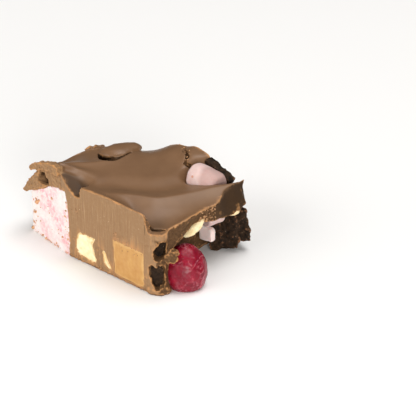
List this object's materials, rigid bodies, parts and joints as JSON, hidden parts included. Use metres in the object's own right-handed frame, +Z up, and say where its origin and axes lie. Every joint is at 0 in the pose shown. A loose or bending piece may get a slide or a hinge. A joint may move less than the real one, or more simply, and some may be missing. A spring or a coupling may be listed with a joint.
{
  "type": "rocky road",
  "caption": "Hand-cut piece of rocky road: a thick milk chocolate slab with marshmallow, peanut, caramel, dark biscuit and a red jelly showing at its cut and broken sides",
  "frame": {"origin": "on the surface that the piece rests on, under the middle of its bounding box", "axes": "+X along the knife-cut front face toward the broken end with the jelly, +Y from the cut front to the back, +Z up out of the poured top"},
  "size_m": [0.0708, 0.0432, 0.0291],
  "materials": {
    "milk_chocolate": "milk chocolate, satin and softly glossy on the poured top, duller and finely scored on the cut",
    "marshmallow": "matt powdery foam, white with a pink streak",
    "pink_marshmallow": "matt powdery foam, pale pink",
    "peanut": "waxy cut nut, cream with a golden edge",
    "caramel": "smooth firm caramel, faintly translucent",
    "biscuit": "dark porous baked crumb with small glints",
    "raspberry_jelly": "deep red translucent jelly, glossy with pale scratches"
  },
  "bodies": {
    "root": {"chocolate_block": "milk_chocolate", "marshmallow_large": "marshmallow", "marshmallow_slant": "pink_marshmallow", "marshmallow_mini_top": "pink_marshmallow", "marshmallow_mini_side": "pink_marshmallow", "marshmallow_strip_side": "pink_marshmallow", "peanut_cut": "peanut", "peanut_sliver": "peanut", "peanut_slant": "peanut", "peanut_back": "peanut", "peanut_right": "peanut", "peanut_tip": "peanut", "caramel_block": "caramel", "caramel_back": "caramel", "biscuit_upper": "biscuit", "biscuit_lower": "biscuit", "biscuit_back": "biscuit", "biscuit_top_back": "biscuit", "biscuit_chunk_right": "biscuit", "raspberry_jelly": "raspberry_jelly"}
  },
  "joints": []
}
